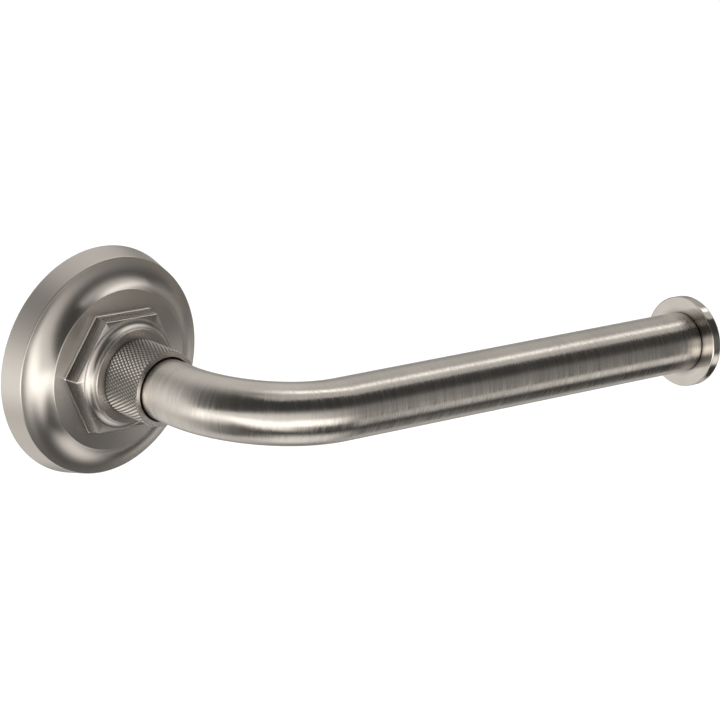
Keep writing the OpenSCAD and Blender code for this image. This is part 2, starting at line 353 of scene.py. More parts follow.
# ---------------------------------------------------------------------------------------------
# Hexagonal hub. Milled from bar and clamped tight on the plateau: leaning flats, a hollow that
# climbs to a sharp round edge, and a flat ledge inside that edge, which the collar stands on.
# ---------------------------------------------------------------------------------------------

collar_low, collar_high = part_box("knurled_collar")

flats_lean = 0.7 * MM
flats_h = 4.4 * MM
ledge_w = 2.9 * MM
hex_foot_a = hub_high.z
hex_top_a = hex_foot_a - flats_lean
hex_top_at = plateau_at + flats_h
ring_at = -hub_low.y
collar_r = collar_high.x
ring_r = collar_r + ledge_w
hub_cove_r = 2.4 * MM
hub_foot_r = 0.45 * MM


def hexagon_section(x, count, corner=0.45 * MM, steps=7):
    """Places and normals round a hexagon with rounded corners, x from its axis to its flats."""
    centres = [(x - corner) / math.cos(math.radians(30)) * np.array([math.cos(a), math.sin(a)])
               for a in np.radians(np.arange(0, 361, 60))]
    places, ways = [], []
    for side in range(6):
        for angle in np.radians(np.linspace(-30, 30, steps) + 60 * side):
            ways.append(np.array([math.cos(angle), math.sin(angle)]))
            places.append(centres[side] + corner * ways[-1])
        leave, arrive = places[-1], centres[side + 1] + corner * ways[-1]
        flat_steps = count // 6 - steps
        for step in range(1, flat_steps + 1):
            places.append(leave + (arrive - leave) * step / (flat_steps + 1))
            ways.append(ways[-1])
    return np.array(places), np.array(ways)


def hub_section(x, count):
    """A hexagon outside the cove, and circles inside it on the same rays."""
    limit = ring_r + hub_cove_r + 0.02 * MM
    places, ways = hexagon_section(max(x, limit), count)
    if x >= limit:
        return places, ways
    rays = places / np.linalg.norm(places, axis=1)[:, None]
    return rays * x, rays


hub = turned("hexagonal_hub", rounded_outline([
    (stud_hole_r, plateau_at, 0.1 * MM),
    (hex_foot_a + hub_foot_r, plateau_at, 0.005 * MM),
    (hex_foot_a + hub_foot_r, plateau_at + 0.02 * MM, 0.005 * MM),
    (hex_foot_a - 0.003 * MM, plateau_at + 0.02 * MM, 0.98 * hub_foot_r),
    (hex_top_a, hex_top_at, 0.32 * MM),
    (ring_r, hex_top_at, hub_cove_r * 0.995),
    (ring_r, ring_at, 0.24 * MM),
    (stud_hole_r, ring_at, 0.1 * MM),
], closed=True), closed=True, section=hub_section, count=240)
fitted(hub, "holder", "satin_nickel", turned_nickel, "hex_hub")

# ---------------------------------------------------------------------------------------------
# Knurled collar. A cup clamped on the hub round the arm's foot. Two sets of helical grooves,
# rolled at thirty degrees to its axis, cross into rows of small diamonds behind a plain lip.
# ---------------------------------------------------------------------------------------------

tube_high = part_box("arm_tube")[1]

collar_l = collar_high.y - collar_low.y
tube_r = tube_high.z
arm_gap = 0.45 * MM
collar_bore_r = tube_r + arm_gap
collar_floor_t = 2.2 * MM
collar_chamfer = 0.4 * MM
knurl_depth = 0.42 * MM
knurls_round = 60
knurls_along = 7.5
steps_per_knurl = 8


def rolled_grooves():
    """Node group that rolls a sheet into a tube and presses helical grooves into it.

    Crossed at 1 gives both hands of groove, which make a diamond knurl, and at 0 one hand,
    which makes a thread.
    """
    tree = bpy.data.node_groups.new("rolled_grooves", "GeometryNodeTree")
    tree.interface.new_socket("Geometry", in_out="OUTPUT", socket_type="NodeSocketGeometry")
    for name, kind in (("Radius", "Float"), ("Start", "Float"), ("Length", "Float"), ("Depth", "Float"),
                       ("Chamfer", "Float"), ("Slope", "Float"), ("Crest", "Float"), ("Crossed", "Float"),
                       ("Starts", "Int"), ("Turns", "Float"), ("Steps Round", "Int"),
                       ("Steps Along", "Int"), ("Material", "Material")):
        tree.interface.new_socket(name, in_out="INPUT", socket_type="NodeSocket" + kind)
    nodes, links = tree.nodes, tree.links
    given = nodes.new("NodeGroupInput").outputs
    maths = maths_in(nodes, links)
    sheet = nodes.new("GeometryNodeMeshGrid")
    sheet.inputs["Size X"].default_value = 1
    sheet.inputs["Size Y"].default_value = 1
    links.new(maths("ADD", given["Steps Along"], 1), sheet.inputs["Vertices X"])
    links.new(maths("ADD", given["Steps Round"], 1), sheet.inputs["Vertices Y"])
    place = nodes.new("ShaderNodeSeparateXYZ")
    links.new(nodes.new("GeometryNodeInputPosition").outputs[0], place.inputs[0])
    along = maths("ADD", place.outputs["X"], 0.5)
    turn = maths("ADD", place.outputs["Y"], 0.5)
    rows = maths("MULTIPLY", along, given["Turns"])
    columns = maths("MULTIPLY", turn, given["Starts"])

    def groove(phase):
        part = maths("FRACT", phase)
        return maths("ABSOLUTE", maths("MULTIPLY_ADD", part, 2, -1))

    one_hand = groove(maths("ADD", maths("ADD", columns, rows), 0.00001))
    other_hand = groove(maths("ADD", maths("SUBTRACT", columns, rows), 1000.00001))
    cut = maths("MAXIMUM", one_hand, maths("MULTIPLY", other_hand, given["Crossed"]))
    sunk = maths("MULTIPLY", maths("MAXIMUM", maths("SUBTRACT", cut, given["Crest"]), 0), given["Depth"])
    distance = maths("MULTIPLY", along, given["Length"])
    to_end = maths("MINIMUM", distance, maths("SUBTRACT", given["Length"], distance))
    cone = maths("MULTIPLY_ADD", to_end, given["Slope"], maths("SUBTRACT", given["Radius"], given["Chamfer"]))
    radius = maths("MINIMUM", maths("SUBTRACT", given["Radius"], sunk), cone)
    angle = maths("MULTIPLY", turn, 2 * math.pi)
    bent = nodes.new("ShaderNodeCombineXYZ")
    links.new(maths("MULTIPLY", radius, maths("COSINE", angle)), bent.inputs["X"])
    links.new(maths("MULTIPLY", radius, maths("SINE", angle)), bent.inputs["Y"])
    links.new(maths("ADD", distance, given["Start"]), bent.inputs["Z"])
    rolled = nodes.new("GeometryNodeSetPosition")
    links.new(sheet.outputs["Mesh"], rolled.inputs["Geometry"])
    links.new(bent.outputs[0], rolled.inputs["Position"])
    sewn = nodes.new("GeometryNodeMergeByDistance")
    sewn.inputs["Distance"].default_value = 0.001 * MM
    links.new(rolled.outputs[0], sewn.inputs["Geometry"])
    real = nodes.new("GeometryNodeRealizeInstances")
    links.new(sewn.outputs[0], real.inputs[0])
    paint = nodes.new("GeometryNodeSetMaterial")
    links.new(real.outputs[0], paint.inputs["Geometry"])
    links.new(given["Material"], paint.inputs["Material"])
    links.new(paint.outputs[0], nodes.new("NodeGroupOutput").inputs[0])
    return tree


grooves = rolled_grooves()


def rolled(name, frame_at, **sizes):
    """Mesh object of the grooved tube, stood on the frame that frame_at gives at its foot."""
    carrier = bpy.data.objects.new(name, bpy.data.meshes.new(name))
    bpy.context.scene.collection.objects.link(carrier)
    modifier = carrier.modifiers.new("grooves", "NODES")
    modifier.node_group = grooves
    for socket in grooves.interface.items_tree:
        if socket.in_out == "INPUT":
            modifier[socket.identifier] = sizes[socket.name.lower().replace(" ", "_")]
    seen = carrier.evaluated_get(bpy.context.evaluated_depsgraph_get())
    mesh = bpy.data.meshes.new_from_object(seen)
    bpy.data.objects.remove(carrier)
    origin, across, upward, axis = frame_at(0)
    flat = np.zeros(len(mesh.vertices) * 3, np.float32)
    mesh.vertices.foreach_get("co", flat)
    axes = np.array([across, upward, axis])
    placed = flat.reshape(-1, 3) @ axes + np.array(origin)
    mesh.vertices.foreach_set("co", placed.astype(np.float32).ravel())
    piece = bpy.data.objects.new(name, mesh)
    bpy.context.scene.collection.objects.link(piece)
    return piece


def joined(name, *pieces, crease=30):
    """One closed mesh object of pieces whose edges meet, with open ends filled."""
    shape = bmesh.new()
    for piece in pieces:
        shape.from_mesh(piece.data)
        bpy.data.objects.remove(piece)
    bmesh.ops.remove_doubles(shape, verts=shape.verts[:], dist=0.002 * MM)
    bmesh.ops.holes_fill(shape, edges=[e for e in shape.edges if e.is_boundary], sides=0)
    bmesh.ops.recalc_face_normals(shape, faces=shape.faces[:])
    mesh = bpy.data.meshes.new(name)
    shape.to_mesh(mesh)
    shape.free()
    if "custom_normal" in mesh.attributes:
        mesh.attributes.remove(mesh.attributes["custom_normal"])
    mesh.polygons.foreach_set("use_smooth", [True] * len(mesh.polygons))
    mesh.set_sharp_from_angle(angle=math.radians(crease))
    piece = bpy.data.objects.new(name, mesh)
    bpy.context.scene.collection.objects.link(piece)
    return piece


def knurled_finish(name, colour, roughness):
    """Nickel over a rolled knurl: painted shade in the grooves and painted highlights on the crests."""
    material = bpy.data.materials.new(name)
    material.use_nodes = True
    nodes, links = material.node_tree.nodes, material.node_tree.links
    shader = nodes["Principled BSDF"]
    shader.inputs["Metallic"].default_value = 1.0
    place = nodes.new("ShaderNodeTexCoord")
    noise = nodes.new("ShaderNodeTexNoise")
    noise.inputs["Scale"].default_value = 1500
    noise.inputs["Detail"].default_value = 3
    links.new(place.outputs["Object"], noise.inputs["Vector"])
    gloss = nodes.new("ShaderNodeMapRange")
    gloss.inputs["To Min"].default_value = roughness - 0.08
    gloss.inputs["To Max"].default_value = roughness + 0.12
    links.new(noise.outputs["Fac"], gloss.inputs["Value"])
    links.new(gloss.outputs["Result"], shader.inputs["Roughness"])
    apart = nodes.new("ShaderNodeSeparateXYZ")
    links.new(place.outputs["Object"], apart.inputs[0])
    maths = maths_in(nodes, links)
    across = maths("MULTIPLY", apart.outputs["X"], apart.outputs["X"])
    radius = maths("SQRT", maths("MULTIPLY_ADD", apart.outputs["Z"], apart.outputs["Z"], across))
    # Painted shade and painted highlight: the base colour goes from 0.35 times in the groove bottoms to 1.2
    # times on the crests, by radius.
    above_groove = maths("SUBTRACT", radius, collar_r - 0.9 * knurl_depth)
    inside = maths("LESS_THAN", above_groove, -0.01 * knurl_depth)
    tone = nodes.new("ShaderNodeMapRange")
    tone.inputs["From Min"].default_value = 0.15 * knurl_depth
    tone.inputs["From Max"].default_value = 0.75 * knurl_depth
    links.new(maths("ADD", above_groove, inside), tone.inputs["Value"])
    mix = nodes.new("ShaderNodeMix")
    mix.data_type = "RGBA"
    mix.inputs[6].default_value = (*[c * 0.35 for c in colour], 1)
    mix.inputs[7].default_value = (*[min(1, c * 1.2) for c in colour], 1)
    links.new(tone.outputs["Result"], mix.inputs[0])
    links.new(mix.outputs[2], shader.inputs["Base Color"])
    bump = nodes.new("ShaderNodeBump")
    bump.inputs["Distance"].default_value = 0.006 * MM
    links.new(noise.outputs["Fac"], bump.inputs["Height"])
    links.new(bump.outputs["Normal"], shader.inputs["Normal"])
    return material


knurled_nickel = knurled_finish("knurled_nickel", (0.64, 0.61, 0.57), 0.28)
knurl = rolled(
    "collar_knurl", off_the_wall, radius=collar_r, start=ring_at, length=collar_l, depth=knurl_depth,
    chamfer=collar_chamfer, slope=3.0, crest=0.12, crossed=1.0, starts=knurls_round, turns=knurls_along,
    steps_round=knurls_round * steps_per_knurl, steps_along=int(knurls_along * steps_per_knurl),
    material=knurled_nickel,
)
cup = turned("collar_cup", rounded_outline([
    (collar_r - collar_chamfer, ring_at + collar_l, 0),
    (collar_bore_r, ring_at + collar_l, 0.25 * MM),
    (collar_bore_r, ring_at + collar_floor_t, 0.2 * MM),
    (stud_hole_r, ring_at + collar_floor_t, 0.1 * MM),
    (stud_hole_r, ring_at, 0.1 * MM),
    (collar_r - collar_chamfer, ring_at, 0),
], closed=False), closed=False, count=knurls_round * steps_per_knurl)
collar = joined("knurled_collar_cup", knurl, cup)
fitted(collar, "holder", "knurled_nickel", knurled_nickel, "knurled_collar")

# ---------------------------------------------------------------------------------------------
# Arm. One length of drawn brass tube, bent through a right angle on a former, its ends faced
# square and broken with a fine chamfer, then belt brushed round and satin nickel plated.
# ---------------------------------------------------------------------------------------------

disc_low, disc_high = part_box("end_disc")

arm_foot_at = ring_at + collar_floor_t
arm_at = -(disc_low.y + disc_high.y) / 2
bend_r = 33.0 * MM
bend_at = arm_at - bend_r
tube_bore_r = 8.0 * MM
disc_at = tube_high.x
bend_l = bend_r * math.pi / 2
foot_l = bend_at - arm_foot_at
disc_joint = 0.2 * MM
arm_l = foot_l + bend_l + disc_at - bend_r - disc_joint
bend_steps = 72


def along_the_arm(distance):
    """Origin, two axes across and the axis along, at a distance along the arm from its foot."""
    up = Vector((0, 0, 1))
    turn = min(max((distance - foot_l) / bend_r, 0), math.pi / 2)
    axis = Vector((math.sin(turn), -math.cos(turn), 0))
    across = Vector((math.cos(turn), math.sin(turn), 0))
    origin = Vector((bend_r - bend_r * math.cos(turn), -bend_at - bend_r * math.sin(turn), 0))
    past = distance - foot_l if distance < foot_l else max(distance - foot_l - bend_l, 0)
    return origin + axis * past, across, up, axis


bend_stops = [foot_l + bend_l * step / bend_steps for step in range(bend_steps + 1)]
tube_stops = [foot_l / 2, *bend_stops, *np.linspace(foot_l + bend_l, arm_l, 13)[1:-1]]
arm_nickel = brushed_nickel("arm_nickel", (0.64, 0.61, 0.57), 0.25, 0.05, 0.08, 0.03, 0.75)
arm = turned("bent_arm", rounded_outline([
    (tube_r, 0, 0.2 * MM),
    *[(tube_r, stop, 0) for stop in tube_stops],
    (tube_r, arm_l, 0.22 * MM),
    (tube_bore_r, arm_l, 0.1 * MM),
    *[(tube_bore_r, stop, 0) for stop in reversed(tube_stops)],
    (tube_bore_r, 0, 0.1 * MM),
], closed=True), closed=True, frame_at=along_the_arm, count=160)
fitted(arm, "holder", "satin_nickel", arm_nickel, "arm_tube")

# ---------------------------------------------------------------------------------------------
# End disc. Turned with its threaded stud in one piece and screwed into the tube's plug. Its
# inner face is left glossy from the lathe, so the tube's end shows in it.
# ---------------------------------------------------------------------------------------------

disc_r = disc_high.z
disc_t = disc_high.x - disc_at
disc_stud_r = 3.0 * MM
disc_stud_l = 10.0 * MM


def past_the_arm(distance):
    """Origin, two axes across and the axis along, at a distance past the arm's end."""
    return Vector((disc_at + distance, -arm_at, 0)), Vector((0, 1, 0)), Vector((0, 0, 1)), Vector((1, 0, 0))


disc_nickel = brushed_nickel("disc_nickel", (0.66, 0.63, 0.59), 0.13, 0.04, 0.05, 0.03, 0.3)
disc = turned("round_end_disc", rounded_outline([
    (0, -disc_stud_l, 0),
    (disc_stud_r, -disc_stud_l, 0.5 * MM),
    (disc_stud_r, 0, 0.05 * MM),
    (disc_r, 0, 0.35 * MM),
    (disc_r, disc_t, 1.0 * MM),
    (0, disc_t, 0),
], closed=False), closed=False, frame_at=past_the_arm, count=224)
fitted(disc, "holder", "satin_nickel", disc_nickel, "end_disc")

# ---------------------------------------------------------------------------------------------
# Root stud, plug, nut, washer and dowel. Zinc-plated steel that holds the arm, collar, hub and
# flange together from behind: a stud fixed in the tube, a nut on its tail, a dowel beside it.
# ---------------------------------------------------------------------------------------------

nut_low, nut_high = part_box("fixing_nut")
washer_low, washer_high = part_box("lock_washer")
dowel_low, dowel_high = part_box("dowel")
plug_low, plug_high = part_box("end_plug")


def plated_steel_finish(name, colour, roughness, speckle):
    """Bright zinc plate: slightly blotchy gloss and colour over fine turning marks."""
    material = bpy.data.materials.new(name)
    material.use_nodes = True
    nodes, links = material.node_tree.nodes, material.node_tree.links
    shader = nodes["Principled BSDF"]
    shader.inputs["Metallic"].default_value = 1.0
    place = nodes.new("ShaderNodeTexCoord")
    noise = nodes.new("ShaderNodeTexNoise")
    noise.inputs["Scale"].default_value = 350
    noise.inputs["Detail"].default_value = 5
    links.new(place.outputs["Object"], noise.inputs["Vector"])
    gloss = nodes.new("ShaderNodeMapRange")
    gloss.inputs["To Min"].default_value = roughness - speckle
    gloss.inputs["To Max"].default_value = roughness + speckle
    links.new(noise.outputs["Fac"], gloss.inputs["Value"])
    links.new(gloss.outputs["Result"], shader.inputs["Roughness"])
    mix = nodes.new("ShaderNodeMix")
    mix.data_type = "RGBA"
    mix.inputs[6].default_value = (*[c * 0.85 for c in colour], 1)
    mix.inputs[7].default_value = (*[min(1, c * 1.1) for c in colour], 1)
    links.new(noise.outputs["Fac"], mix.inputs[0])
    links.new(mix.outputs[2], shader.inputs["Base Color"])
    bump = nodes.new("ShaderNodeBump")
    bump.inputs["Distance"].default_value = 0.01 * MM
    links.new(noise.outputs["Fac"], bump.inputs["Height"])
    links.new(bump.outputs["Normal"], shader.inputs["Normal"])
    return material


plated_steel = plated_steel_finish("plated_steel", (0.70, 0.70, 0.69), 0.30, 0.10)
tail_at = -stud_high.y
root_l = 14.0 * MM
stud_r = 5.0 * MM
stud_pitch = 1.0 * MM
thread_count = 60
groove_depth = 0.6
steps_per_turn = 8


def threaded(name, frame_at, radius, start, length, pitch, material):
    """Grooved tube with one thread from start over the length, chamfered at both ends."""
    depth = groove_depth * pitch
    return rolled(
        name, frame_at, radius=radius, start=start, length=length, depth=depth, chamfer=depth,
        slope=1.0, crest=0.15, crossed=0.0, starts=1, turns=-length / pitch, steps_round=thread_count,
        steps_along=round(length / pitch * steps_per_turn), material=material,
    )


root_thread_l = arm_foot_at - tail_at
root_thread = threaded("root_thread", off_the_wall, stud_r, tail_at, root_thread_l, stud_pitch, plated_steel)
root_plug = turned("root_plug", rounded_outline([
    (stud_r - groove_depth * stud_pitch, arm_foot_at, 0),
    (tube_bore_r, arm_foot_at, 0.1 * MM),
    (tube_bore_r, arm_foot_at + root_l, 0.4 * MM),
    (0, arm_foot_at + root_l, 0),
], closed=False), closed=False, count=thread_count)
root_stud = joined("threaded_root_stud", root_thread, root_plug)
fitted(root_stud, "holder", "plated_steel", plated_steel, "root_stud")

washer_bore_r = stud_r + 0.1 * MM
washer = turned("lock_washer_ring", rounded_outline([
    (washer_bore_r, -washer_high.y, 0.1 * MM),
    (washer_high.x, -washer_high.y, 0.2 * MM),
    (washer_high.x, -washer_low.y, 0.2 * MM),
    (washer_bore_r, -washer_low.y, 0.1 * MM),
], closed=True), closed=True, count=96)
fitted(washer, "holder", "plated_steel", plated_steel, "lock_washer")


def nut_section(x, count):
    """Round inside the nut's flats, hexagonal at them."""
    flat_r = nut_high.z
    places, ways = hexagon_section(flat_r, count, corner=0.2 * MM, steps=5)
    reach = np.linalg.norm(places, axis=1)
    rays = places / reach[:, None]
    if x <= stud_r * 1.01:
        return rays * x, rays
    cut = np.minimum(reach, x)
    return rays * cut[:, None], np.where((cut < reach - 1e-7)[:, None], rays, ways)


nut_chamfer = 0.7 * MM
nut_corner_r = nut_high.z / math.cos(math.radians(30))
nut = turned("hexagonal_fixing_nut", rounded_outline([
    (stud_r, -nut_high.y, 0.02 * MM),
    (nut_high.z, -nut_high.y, 0.02 * MM),
    (nut_corner_r, -nut_high.y + nut_chamfer, 0.02 * MM),
    (nut_corner_r, -nut_low.y - nut_chamfer, 0.02 * MM),
    (nut_high.z, -nut_low.y, 0.02 * MM),
    (stud_r, -nut_low.y, 0.02 * MM),
], closed=True), closed=True, section=nut_section, count=120)
nut.data.attributes.remove(nut.data.attributes["custom_normal"])
nut.data.set_sharp_from_angle(angle=math.radians(25))
fitted(nut, "holder", "plated_steel", plated_steel, "fixing_nut")

dowel_r = dowel_high.x
dowel_up = (dowel_low.z + dowel_high.z) / 2
dowel = turned("round_dowel", rounded_outline([
    (0, -dowel_high.y, 0),
    (dowel_r, -dowel_high.y, 0.4 * MM),
    (dowel_r, -dowel_low.y, 0.4 * MM),
    (0, -dowel_low.y, 0),
], closed=False), closed=False, count=40,
    frame_at=lambda distance: (Vector((0, -distance, dowel_up)), *off_the_wall(0)[1:]))
fitted(dowel, "holder", "plated_steel", plated_steel, "dowel")

plug_l = plug_high.x - plug_low.x
plug_hole_l = disc_stud_l + 0.5 * MM
plug = turned("tube_end_plug", rounded_outline([
    (0, -plug_l, 0),
    (tube_bore_r, -plug_l, 0.4 * MM),
    (tube_bore_r, 0, 0.1 * MM),
    (disc_stud_r, 0, 0.1 * MM),
    (disc_stud_r, -plug_hole_l, 0.1 * MM),
    (0, -plug_hole_l, 0),
], closed=False), closed=False, frame_at=past_the_arm, count=96)
fitted(plug, "holder", "plated_steel", plated_steel, "end_plug")

# ---------------------------------------------------------------------------------------------
# Wall bracket. A zinc casting: a round plate with an upstanding rim that the flange slides
# over, screwed to the wall through two holes. It stays on the wall when the holder comes off.
# ---------------------------------------------------------------------------------------------

screw_low, screw_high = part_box("wall_screws")

bracket_r = bracket_high.x
bracket_rim_h = -bracket_low.y
bracket_rim_t = 2.2 * MM
plate_t = 2.5 * MM
screw_head_r = screw_high.x
screw_up = screw_high.z - screw_head_r
screw_hole_r = 2.3 * MM


def cast_zinc_finish(name, colour):
    """Bare zinc casting: dull and mottled, with a fine skin of pits from the die."""
    material = bpy.data.materials.new(name)
    material.use_nodes = True
    nodes, links = material.node_tree.nodes, material.node_tree.links
    shader = nodes["Principled BSDF"]
    shader.inputs["Metallic"].default_value = 0.9
    place = nodes.new("ShaderNodeTexCoord")
    mottle = nodes.new("ShaderNodeTexNoise")
    mottle.inputs["Scale"].default_value = 220
    mottle.inputs["Detail"].default_value = 6
    pits = nodes.new("ShaderNodeTexVoronoi")
    pits.inputs["Scale"].default_value = 1400
    links.new(place.outputs["Object"], mottle.inputs["Vector"])
    links.new(place.outputs["Object"], pits.inputs["Vector"])
    tone = nodes.new("ShaderNodeMix")
    tone.data_type = "RGBA"
    tone.inputs[6].default_value = (*[c * 0.8 for c in colour], 1)
    tone.inputs[7].default_value = (*[c * 1.15 for c in colour], 1)
    links.new(mottle.outputs["Fac"], tone.inputs[0])
    links.new(tone.outputs[2], shader.inputs["Base Color"])
    gloss = nodes.new("ShaderNodeMapRange")
    gloss.inputs["To Min"].default_value = 0.42
    gloss.inputs["To Max"].default_value = 0.62
    links.new(mottle.outputs["Fac"], gloss.inputs["Value"])
    links.new(gloss.outputs["Result"], shader.inputs["Roughness"])
    bump = nodes.new("ShaderNodeBump")
    bump.inputs["Distance"].default_value = 0.03 * MM
    bump.inputs["Strength"].default_value = 0.6
    links.new(pits.outputs["Distance"], bump.inputs["Height"])
    links.new(bump.outputs["Normal"], shader.inputs["Normal"])
    return material


cast_zinc = cast_zinc_finish("cast_zinc", (0.50, 0.50, 0.50))
bracket = turned("cast_wall_bracket", rounded_outline([
    (0, 0, 0),
    (bracket_r, 0, 0.2 * MM),
    (bracket_r, bracket_rim_h, 0.5 * MM),
    (bracket_r - bracket_rim_t, bracket_rim_h, 0.5 * MM),
    (bracket_r - bracket_rim_t, plate_t, 1.0 * MM),
    (0, plate_t, 0),
], closed=False), closed=False, count=192)
drilled(bracket, *[
    ((0, 1 * MM, side * screw_up), (0, -plate_t - 1 * MM, side * screw_up), screw_hole_r) for side in (-1, 1)
])
fitted(bracket, "wall_mount", "cast_zinc", cast_zinc, "wall_bracket")

# ---------------------------------------------------------------------------------------------
# Wall screws. Zinc-plated steel, pan heads with a cross recess, a plain neck through the
# bracket's plate and a coarse thread that bites in the wall's plugs.
# ---------------------------------------------------------------------------------------------

screw_tip_at = -screw_high.y
head_at = -screw_low.y
head_h = head_at - plate_t
screw_r = 2.1 * MM
neck_r = 1.7 * MM
neck_tail = 0.5 * MM
point_l = 4.2 * MM
screw_pitch = 1.75 * MM
screw_core_r = screw_r - groove_depth * screw_pitch
recess_l = 4.2 * MM
recess_w = 1.1 * MM
recess_depth = 1.5 * MM


def screw_axis(up):
    """Frame of a screw that stands in the wall at this height."""
    return lambda distance: (Vector((0, -distance, up)), *off_the_wall(0)[1:])


def cross_recess(up):
    """Four-pointed driver that is pressed into a screw's head, wider towards its mouth."""
    shape = bmesh.new()
    for long_way, wide_way in (((1, 0), (0, 1)), ((0, 1), (1, 0))):
        corners = []
        for depth, grow in ((recess_depth, 0.72), (-0.5 * MM, 1.06)):
            for a, b in ((-1, -1), (1, -1), (1, 1), (-1, 1)):
                px = (long_way[0] * a * recess_l + wide_way[0] * b * recess_w) * grow / 2
                pz = (long_way[1] * a * recess_l + wide_way[1] * b * recess_w) * grow / 2
                corners.append(shape.verts.new((px, -(head_at - depth), up + pz)))
        for face in ((3, 2, 1, 0), (4, 5, 6, 7), (0, 1, 5, 4), (1, 2, 6, 5), (2, 3, 7, 6), (3, 0, 4, 7)):
            shape.faces.new([corners[i] for i in face])
    bmesh.ops.recalc_face_normals(shape, faces=shape.faces[:])
    mesh = bpy.data.meshes.new("recess")
    shape.to_mesh(mesh)
    shape.free()
    driver = bpy.data.objects.new("recess", mesh)
    bpy.context.scene.collection.objects.link(driver)
    return driver


for side, rank in ((-1, "lower"), (1, "upper")):
    frame_here = screw_axis(side * screw_up)
    shank_at = screw_tip_at + point_l
    shank = threaded(
        "shank", frame_here, screw_r, shank_at, -neck_tail - shank_at, screw_pitch, plated_steel,
    )
    point = turned("point", rounded_outline([
        (0, screw_tip_at, 0),
        (screw_core_r, shank_at, 0),
    ], closed=False), closed=False, frame_at=frame_here, count=thread_count)
    head = turned("head", rounded_outline([
        (screw_core_r, -neck_tail, 0),
        (neck_r, -neck_tail, 0.01 * MM),
        (neck_r, plate_t, 0.05 * MM),
        (screw_head_r, plate_t, 0.15 * MM),
        (screw_head_r, plate_t + 0.55 * head_h, 0.9 * MM),
        (screw_head_r * 0.6, head_at, 2.2 * MM),
        (0, head_at, 0),
    ], closed=False), closed=False, frame_at=frame_here, count=thread_count)
    screw = joined("wall_screw_" + rank, shank, point, head)
    driver = cross_recess(side * screw_up)
    pressed = screw.modifiers.new("recess", "BOOLEAN")
    pressed.operation = "DIFFERENCE"
    pressed.solver = "EXACT"
    pressed.use_self = True
    pressed.object = driver
    mesh = bpy.data.meshes.new_from_object(screw.evaluated_get(bpy.context.evaluated_depsgraph_get()))
    screw.modifiers.remove(pressed)
    screw.data = mesh
    bpy.data.objects.remove(driver)
    mesh.set_sharp_from_angle(angle=math.radians(30))
    fitted(screw, "wall_mount", "plated_steel", plated_steel, "wall_screws")

# ---------------------------------------------------------------------------------------------
# Grub screw. A short headless steel screw with a hexagonal key socket, in the underside of the
# rim. Screwed up, its tip stops the flange from sliding off the bracket.
# ---------------------------------------------------------------------------------------------

grub_pitch = 0.7 * MM
key_flat_a = 0.29 * 2 * grub_r * math.cos(math.radians(30))
key_depth = (grub_high.z - grub_low.z) / 2


def up_the_rim(distance):
    """Origin, two axes across and the axis downwards, at a distance below the grub's tip."""
    origin = Vector((0, -grub_at, grub_high.z - distance))
    return origin, Vector((0, 1, 0)), Vector((1, 0, 0)), Vector((0, 0, -1))


def key_section(x, count):
    """Round, except for the hexagon of the key's flats."""
    if x > key_flat_a * 1.001:
        return round_section(x, count)
    places, ways = hexagon_section(max(x, 0.1 * MM), count, corner=0.03 * MM, steps=3)
    return places, ways


grub_l = grub_high.z - grub_low.z
grub_thread = threaded("grub_thread", up_the_rim, grub_r, 0, grub_l, grub_pitch, plated_steel)
grub_core_r = grub_r - groove_depth * grub_pitch
grub_tip = turned("grub_tip", rounded_outline([
    (0, 0, 0),
    (grub_core_r, 0, 0),
], closed=False), closed=False, frame_at=up_the_rim, count=thread_count)
grub_end = turned("grub_end", rounded_outline([
    (grub_core_r, grub_l, 0),
    (key_flat_a * 1.15, grub_l, 0.01 * MM),
    (key_flat_a, grub_l - 0.15 * MM, 0.01 * MM),
    (key_flat_a, grub_l - key_depth, 0.01 * MM),
    (0, grub_l - key_depth, 0),
], closed=False), closed=False, frame_at=up_the_rim, section=key_section, count=thread_count)
grub = joined("grub_screw_body", grub_thread, grub_tip, grub_end)
fitted(grub, "grub_screw", "plated_steel", plated_steel, "grub_screw")

# ---------------------------------------------------------------------------------------------
# Studio. A pale floor well below the holder, a plain surround and a wide soft light overhead.
# A cloth tent with lamps behind it stands round the holder, seen only in its reflections.
# ---------------------------------------------------------------------------------------------

middle = Vector((90.0 * MM, -22.44 * MM, -7.30 * MM))


def plain_paint(name, colour, roughness):
    """Matt paint with a very faint mottle."""
    material = bpy.data.materials.new(name)
    material.use_nodes = True
    nodes, links = material.node_tree.nodes, material.node_tree.links
    shader = nodes["Principled BSDF"]
    shader.inputs["Roughness"].default_value = roughness
    place = nodes.new("ShaderNodeTexCoord")
    noise = nodes.new("ShaderNodeTexNoise")
    noise.inputs["Scale"].default_value = 3
    links.new(place.outputs["Object"], noise.inputs["Vector"])
    mix = nodes.new("ShaderNodeMix")
    mix.data_type = "RGBA"
    mix.inputs[6].default_value = (*[c * 0.99 for c in colour], 1)
    mix.inputs[7].default_value = (*colour, 1)
    links.new(noise.outputs["Fac"], mix.inputs[0])
    links.new(mix.outputs[2], shader.inputs["Base Color"])
    return material


floor_mesh = bpy.data.meshes.new("floor")
floor_half = 9.0
floor_at = -0.55
floor_mesh.from_pydata(
    [(x * floor_half, y * floor_half, floor_at) for x, y in ((-1, -1), (1, -1), (1, 1), (-1, 1))],
    [], [(0, 1, 2, 3)],
)
floor = bpy.data.objects.new("floor", floor_mesh)
bpy.context.scene.collection.objects.link(floor)
floor_mesh.materials.append(plain_paint("floor_paint", (0.92, 0.92, 0.92), 0.9))
floor.visible_glossy = False


